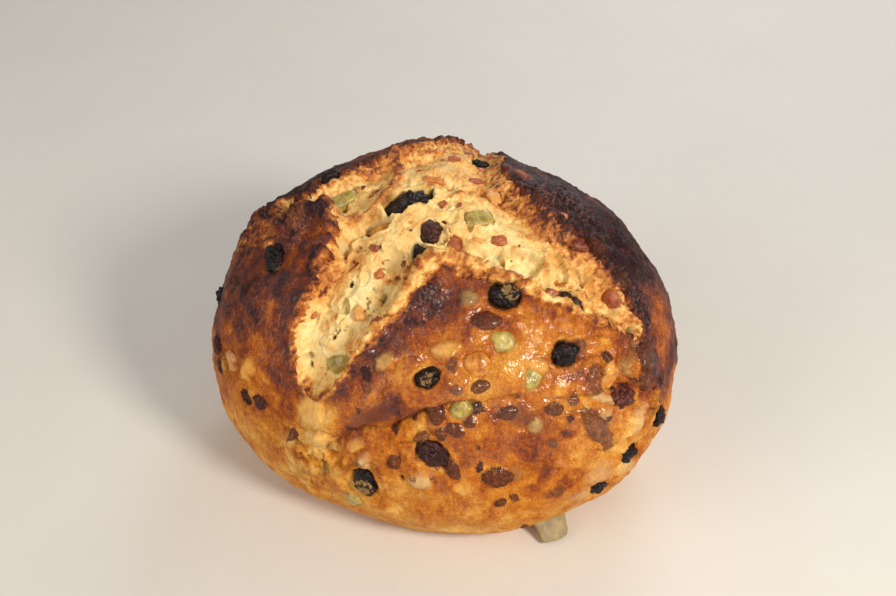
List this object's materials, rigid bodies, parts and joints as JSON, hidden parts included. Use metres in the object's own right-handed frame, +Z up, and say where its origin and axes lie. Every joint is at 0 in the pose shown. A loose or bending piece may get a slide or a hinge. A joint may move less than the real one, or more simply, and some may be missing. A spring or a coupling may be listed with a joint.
{
  "type": "easter bread loaf",
  "caption": "Round fruit loaf torn open at the crown along a cross cut, with raisins, candied citron and orange peel set in a browned crust, on a flat foot.",
  "frame": {"origin": "middle of the flat foot that the loaf rests on", "axes": "+Z up, front of the loaf towards -Y, +X to the right seen from the front"},
  "size_m": [0.1798, 0.1572, 0.1174],
  "materials": {
    "crust": "egg-washed baked crust, glossy in patches",
    "raisin": "wrinkled, waxy",
    "citron": "candied, translucent",
    "orange_peel": "candied, translucent",
    "almond": "toasted",
    "scrap": "pale dry dough"
  },
  "bodies": {
    "root": {"loaf": "crust", "raisin_left_shoulder": "raisin", "raisin_front_lip": "raisin", "raisin_front_right": "raisin", "raisin_front_middle": "raisin", "raisin_front_low": "raisin", "raisin_front_fold": "raisin", "raisin_low_right": "raisin", "raisin_foot_right": "raisin", "raisin_crown_large": "raisin", "raisin_crown_middle": "raisin", "raisin_crown_front": "raisin", "raisin_arm_right": "raisin", "raisin_right_curled": "raisin", "raisin_left_edge": "raisin", "raisin_back_arm": "raisin", "raisin_top": "raisin", "raisin_right_edge": "raisin", "raisin_behind_left": "raisin", "raisin_behind_middle": "raisin", "raisin_behind_right": "raisin", "citron_crown": "citron", "citron_left_arm": "citron", "citron_front_high": "citron", "citron_front_right": "citron", "citron_front_middle": "citron", "citron_back_arm": "citron", "citron_foot": "citron", "citron_behind": "citron", "orange_peel_crown": "orange_peel", "orange_peel_left": "orange_peel", "orange_peel_front": "orange_peel", "orange_peel_right": "orange_peel", "orange_peel_behind": "orange_peel", "almond_crown": "almond", "almond_right": "almond", "dough_scrap": "scrap"}
  },
  "joints": []
}
